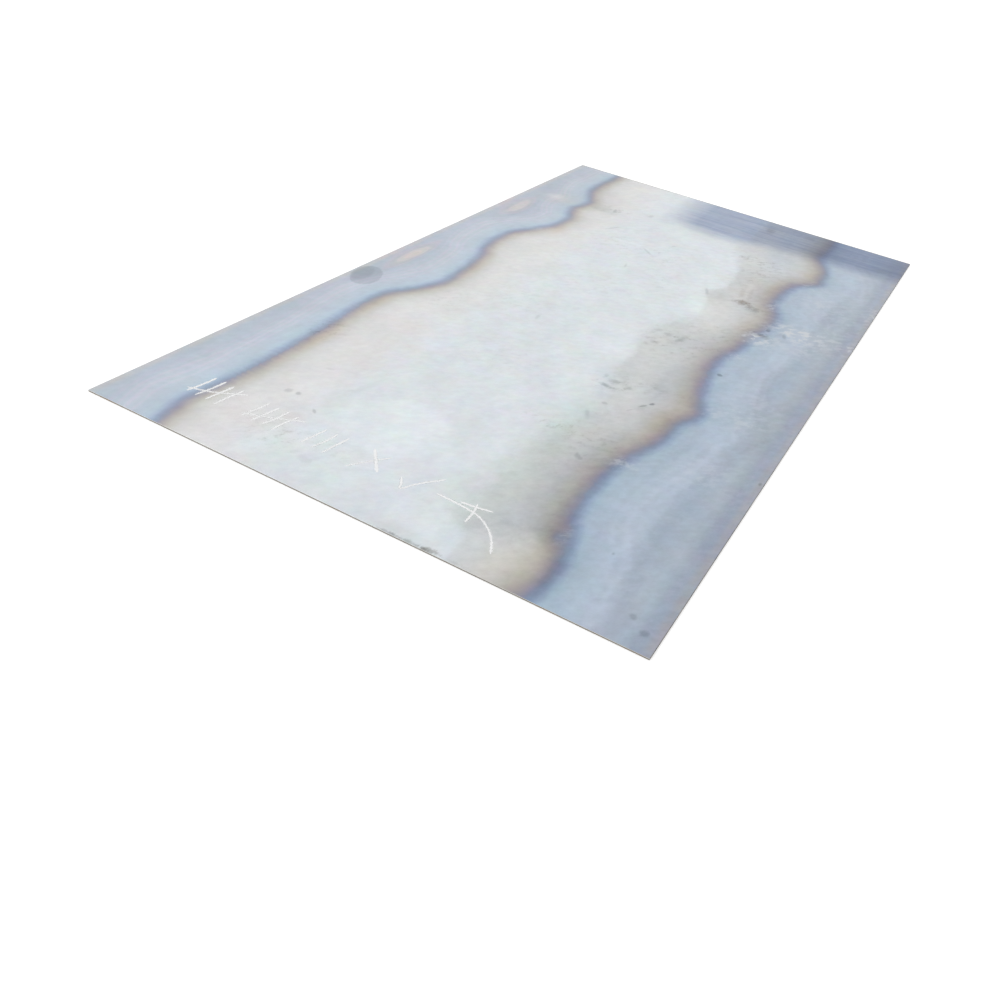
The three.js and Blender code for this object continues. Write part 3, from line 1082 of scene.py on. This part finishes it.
# %% [markdown]
# The steel is metallic, neither mirror nor matt, and the film of oil on it is a light coat.

# %% The face material
COAT_ROUGHNESS = 0.25
GLOSS, GLOSS_STREAKS, GLOSS_SCUFFS = 0.34, 0.08, 0.15
STAINED, RUSTED = (0.62, 0.64, 0.65), (0.6, 0.53, 0.46)


def finish_material(colour, roughness, height, *, depth, metallic, coat=0.0, **more):
    """The shader at the end: colour and roughness vary, metallic and coat are the same all over, and
    height, from 0 to 1, is raised to depth in metres."""
    bumped = wire("ShaderNodeBump", {"Height": height, "Distance": depth, "Strength": 1.0})
    inputs = {"Base Color": colour, "Roughness": roughness, "Metallic": metallic, "Coat Weight": coat}
    inputs |= {"Coat Roughness": COAT_ROUGHNESS, "Normal": bumped, **more}
    node("ShaderNodeOutputMaterial", {"Surface": wire("ShaderNodeBsdfPrincipled", inputs)})


def tinted_steel():
    """Each step over the last: film, wiped strip, washes, rings, tones, dirt, scuffs, painted reflection,
    marks.
    """
    face = bare_face()
    rings, scuffs = film_rings(face), pale_scuffs(face)
    colour = film_washes(face, wiped_strip(face, film_colours(face)))
    colour = washed(colour, (rings * (1.0 - face.right)).clamped(), RINGED)
    colour = washed(toned(face, colour, rings), dirt_flecks(face), DIRTY)
    # The dark band at the far end is a painted reflection.
    colour = washed(mixed(scuffs, colour, SCUFF), dark_reflection_band(face), DARK_REFLECTION)
    colour = washed(colour, marks_mask(face, STAINS), STAINED)
    colour = washed(colour, marks_mask(face, RUST), RUSTED)
    gloss = face.grain["Tone"] * GLOSS_STREAKS + GLOSS + scuffs * GLOSS_SCUFFS
    finish_material(colour, gloss, face.grain["Height"], depth=0.02 * MM, metallic=0.85, coat=0.12)
    return face.material


tinted = tinted_steel()
print("the face's material has", len(tinted.node_tree.nodes), "nodes")

# %% [markdown]
# ## Edges
# A shear bites, wipes a bright band down the cut, and then the rest tears. So each cut is bright and
# scored under its rolled corner, and dull and grainy beyond. The long sides were never cut: they
# are the mill's own edge, with old scale, dark partly as painted shade for sides turned from the light.
# Both could be colours on one material, but the finish differs as well as the colour, so each edge gets its
# own.

# %% Cut and mill edge materials
LAND_END, LAND_BLEND = ROLLOVER_DEPTH + LAND_HEIGHT, 0.2 * MM
EDGE_BUMPS = 0.05 * MM
LAND_DARK, LAND_LIGHT = seen(176, 174, 170), seen(214, 213, 210)
TORN_DARK, TORN_LIGHT = seen(104, 100, 95), seen(176, 170, 160)
CUT_TAN, CUT_TANNED, CUT_GLOSS = seen(150, 128, 104), (0.5, 0.75, 0.0, 0.6), (0.0, 1.0, 0.34, 0.62)
# The dark of the scale is partly painted shade, for sides that face away from the light.
SCALE_AND_SHADE_DARK, SCALE_LIGHT = seen(74, 71, 72), seen(128, 121, 114)
SCALE_PATCHES, SCALE_GLOSS = (0.35, 0.65), (0.3, 0.7, 0.62, 0.42)


def mixed_value(share, first, second):
    """A number: first where share is 0, second where it is 1."""
    return wire("ShaderNodeMix", {0: share, 2: first, 3: second}, data_type="FLOAT")


def cut_steel():
    """Bright scored land near the face that the blade entered, then broken steel, tanned in places."""
    material, where = new_material("cut_steel")
    place = wires("ShaderNodeSeparateXYZ", {0: where})
    near = maths("LESS_THAN", place["Y"], 0.0)
    away = mixed_value(near, place["Z"], THICKNESS - place["Z"])
    torn = smooth(away, LAND_END - LAND_BLEND, LAND_END + LAND_BLEND)
    scoring = noise(where, (1400, 1400, 90), detail=3.0)
    crumble = noise(where, (700, 700, 900), detail=4.0, roughness=0.7)
    land, broken = mixed(scoring, LAND_DARK, LAND_LIGHT), mixed(crumble, TORN_DARK, TORN_LIGHT)
    tan = smooth(noise(where, (14, 14, 60), detail=4.0), *CUT_TANNED)
    colour = mixed(tan, mixed(torn, land, broken), CUT_TAN)
    height = mixed_value(torn, scoring, crumble)
    finish_material(colour, smooth(torn, *CUT_GLOSS), height, depth=EDGE_BUMPS, metallic=0.8)
    return material


def mill_scale_and_shade():
    """Scale, dark partly as painted shade, with the rolled grain, and paler patches that are smoother as
    well.
    """
    material, where = new_material("mill_edge_scale_and_shade")
    grain = wires("ShaderNodeGroup", {"Vector": where}, node_tree=GRAIN)
    patch = noise(where, (60, 18, 300), detail=4.0, roughness=0.65)
    colour = mixed(smooth(patch, *SCALE_PATCHES), SCALE_AND_SHADE_DARK, SCALE_LIGHT)
    gloss = smooth(patch, *SCALE_GLOSS)
    finish_material(colour, gloss, grain["Height"], depth=EDGE_BUMPS, metallic=0.55)
    return material


steels = [tinted, cut_steel(), mill_scale_and_shade()]
print("materials:", ", ".join(material.name for material in steels))

# %% [markdown]
# ## Putting the plate together
# Each part of the surface takes its material by where it lies in the tube of quads: the first columns
# are the top, then the near cut, the underside and the far cut. The rolled corner belongs to
# the face that it came from. Shading is smooth, but breaks at every real corner.

# %% Materials by face
TINTED, CUT, SCALE = range(len(steels))
SMOOTH_UP_TO = math.radians(32)
# The last quads of the mill edge's corner lie so flat that they count as face.
FLAT_QUADS = 1


def face_materials():
    """The material of each quad of the tube: tinted face, cut or mill edge."""
    row, column = np.meshgrid(np.arange(rows - 1), np.arange(columns), indexing="ij")
    near_cut = (column >= top_count + ROLLOVER_STEPS) & (column < top_count + cut_count)
    far_start = top_count + cut_count + under_count
    far_cut = column >= far_start + ROLLOVER_STEPS
    edge = (row < edge_count - 1 - FLAT_QUADS) | (row >= rows - edge_count + FLAT_QUADS)
    return np.where(near_cut | far_cut, CUT, np.where(edge, SCALE, TINTED)).ravel()


for material in steels:
    plate_data.materials.append(material)
which = np.full(len(plate_data.polygons), SCALE)
which[:tube_count] = face_materials()
plate_data.polygons.foreach_set("material_index", which)
plate_data.shade_smooth()
plate_data.set_sharp_from_angle(angle=SMOOTH_UP_TO)
plate = placed("rolled_plate", plate_data)
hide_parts("plate")
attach(plate, "root")
print("faces on each material:", np.bincount(which).tolist())

# %% [markdown]
# ## Chalk marks
# Stock is marked by hand where it is counted: here three tallies, a cross, a tick, and a line with a
# long tail, which two short strokes cross. Chalk could be painted on in the face's material, but its
# strokes are finer than the plate's grid. So each stroke is a thin closed ribbon that follows a
# curve, just over the face.

# %% Chalk strokes
CHALK_WIDTH, CHALK_STEP = 9.0 * MM, 1.6 * MM
CHALK_GAP, CHALK_THICK, CHALK_OVER = 0.008 * MM, 0.035 * MM, 0.006 * MM
# How hard the chalk was pressed, up to 1; how many strokes it lies over; and places along the stroke.
CHALK_STROKES = [
    (0.8, 0, [(146, 196), (143, 158), (137, 121)]),
    (0.72, 0, [(171, 197), (168, 160), (161, 119)]),
    (0.78, 0, [(196, 193), (192, 158), (187, 120)]),
    (0.7, 0, [(221, 195), (216, 156), (212, 117)]),
    (0.62, 1, [(128, 131), (180, 150), (240, 187)]),
    (0.66, 0, [(291, 192), (287, 155), (280, 122)]),
    (0.74, 0, [(317, 190), (312, 156), (306, 118)]),
    (0.64, 0, [(341, 193), (338, 155), (330, 121)]),
    (0.7, 0, [(368, 190), (361, 155), (357, 117)]),
    (0.56, 1, [(272, 128), (325, 150), (390, 184)]),
    (0.68, 0, [(438, 190), (433, 156), (427, 122)]),
    (0.62, 0, [(464, 189), (461, 154), (453, 120)]),
    (0.7, 0, [(490, 192), (485, 155), (480, 119)]),
    (1, 0, [(549, 195), (572, 166), (599, 134)]),
    (0.54, 1, [(541, 113), (565, 152), (592, 191)]),
    (0.66, 0, [(642, 152), (654, 134), (662, 121), (680, 155), (712, 198)]),
    (0.74, 0, [(722, 150), (768, 148), (812, 142), (843, 126), (866, 104), (881, 82), (891, 62)]),
    (0.72, 1, [(799, 170), (806, 142), (809, 110)]),
    (0.8, 2, [(770, 156), (800, 160), (834, 167)]),
]
print(len(CHALK_STROKES), "strokes")

# %% Sides of a stroke
FEWEST_STATIONS = 8
BLUNT_TIP = 0.4 * MM
LIGHTEST_WIDTH = 0.55
SIDE_WOBBLE = 0.18


def evenly(line, step):
    """The same line with its points a step apart."""
    run = np.r_[0, np.cumsum(np.hypot(*np.diff(line, axis=0).T))]
    marks = np.linspace(0, run[-1], max(FEWEST_STATIONS, round(run[-1] / step)))
    return np.stack([np.interp(marks, run, line[:, axis]) for axis in (0, 1)], axis=1)


def chalk_sides(line, press, chance):
    """The curve's right and left sides: half the width goes with how hard the chalk is pressed and the
    root of the distance from the tip, and each side wanders by itself."""
    count = len(line)
    along = np.gradient(line, axis=0)
    along /= np.hypot(*along.T)[:, None]
    beside = np.stack([-along[:, 1], along[:, 0]], axis=1)
    from_tip = np.minimum(np.arange(count), np.arange(count)[::-1]) * CHALK_STEP
    tip = np.sqrt(np.clip((from_tip + BLUNT_TIP) / CHALK_WIDTH, 0, 1))
    half = CHALK_WIDTH / 2 * tip * (LIGHTEST_WIDTH + (1 - LIGHTEST_WIDTH) * press)
    left, right = (half * (1 + chance.uniform(-SIDE_WOBBLE, SIDE_WOBBLE, count)) for _ in range(2))
    return line - beside * right[:, None], line + beside * left[:, None]


# %% Ribbons
# How much the pressing swings, over how many radians of a sine, and the latest that it starts.
PRESS_SWING, SWING_OVER, SWING_START = 0.1, 5, 3


def chalk_ribbon(press, layer, places, seed):
    """A closed ribbon along the curve: five corners round each station, and a face at each end. The
    chalk is pressed on along the middle of its upper side, and not at all at its edges. A stroke over
    others lies a little higher, so that no two faces are in the same place."""
    line = evenly(curve(places), CHALK_STEP)
    chance = np.random.default_rng(seed)
    swing = np.sin(np.linspace(0, SWING_OVER, len(line)) + chance.uniform(0, SWING_START))
    press = press * (1 - PRESS_SWING + PRESS_SWING * swing)
    right, left = chalk_sides(line, press, chance)
    rings = []
    for flat, lift in ((right, 0), (left, 0), (left, 1), (line, 1), (right, 1)):
        over_face = CHALK_GAP + lift * CHALK_THICK + layer * CHALK_OVER
        rings.append(np.column_stack([flat, face_height(*flat.T) + over_face]))
    corners = len(rings)
    pressed = np.zeros((len(line), corners))
    pressed[:, :2] = -1
    pressed[:, 3] = press
    last = corners * (len(line) - 1)
    ends = [[*range(corners)][::-1], [*range(last, last + corners)]]
    points = np.stack(rings, axis=1).reshape(-1, 3)
    return points, tube_faces(len(line), corners) + ends, pressed.ravel()


def chalk_mesh():
    """All the ribbons in one mesh."""
    mesh = bpy.data.meshes.new("chalk_marks")
    points, faces, pressed = [], [], []
    for seed, stroke in enumerate(CHALK_STROKES):
        own_points, own_faces, own_pressed = chalk_ribbon(*stroke, seed)
        faces += [[len(points) + corner for corner in face] for face in own_faces]
        points += own_points.tolist()
        pressed += own_pressed.tolist()
    mesh.from_pydata(points, [], faces)
    store("pressed", np.array(pressed), mesh)
    return mesh


chalk_data = chalk_mesh()
print(len(chalk_data.polygons), "faces of chalk")

# %% [markdown]
# Chalk catches on the high spots of the steel's texture, so the grain decides where it covers: whole
# where it was pressed hard, and broken towards the ribbon's edges.

# %% Chalk dust
CHALK_GREY, CHALK_WHITE = seen(246, 247, 248), seen(255, 255, 255)
CHALK_COVER = (-0.02, 0.44, 0.0, 0.88)
CHALK_ROUGHNESS = 0.9


def chalk_dust():
    """White, and opaque where how hard it is pressed on and the grain together are high."""
    material, where = new_material("chalk_dust")
    grain = noise(where, (620, 420, 620), roughness=0.7)
    cover = smooth(attribute(where.tree, "pressed") + (grain - 0.5), *CHALK_COVER)
    colour = mixed(grain, CHALK_GREY, CHALK_WHITE)
    finish_material(colour, CHALK_ROUGHNESS, grain, depth=0.03 * MM, metallic=0.0, Alpha=cover)
    return material


chalk_data.materials.append(chalk_dust())
chalk = placed("chalk_marks", chalk_data)
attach(chalk, "root")
print("pieces:", plate.name, "and", chalk.name)
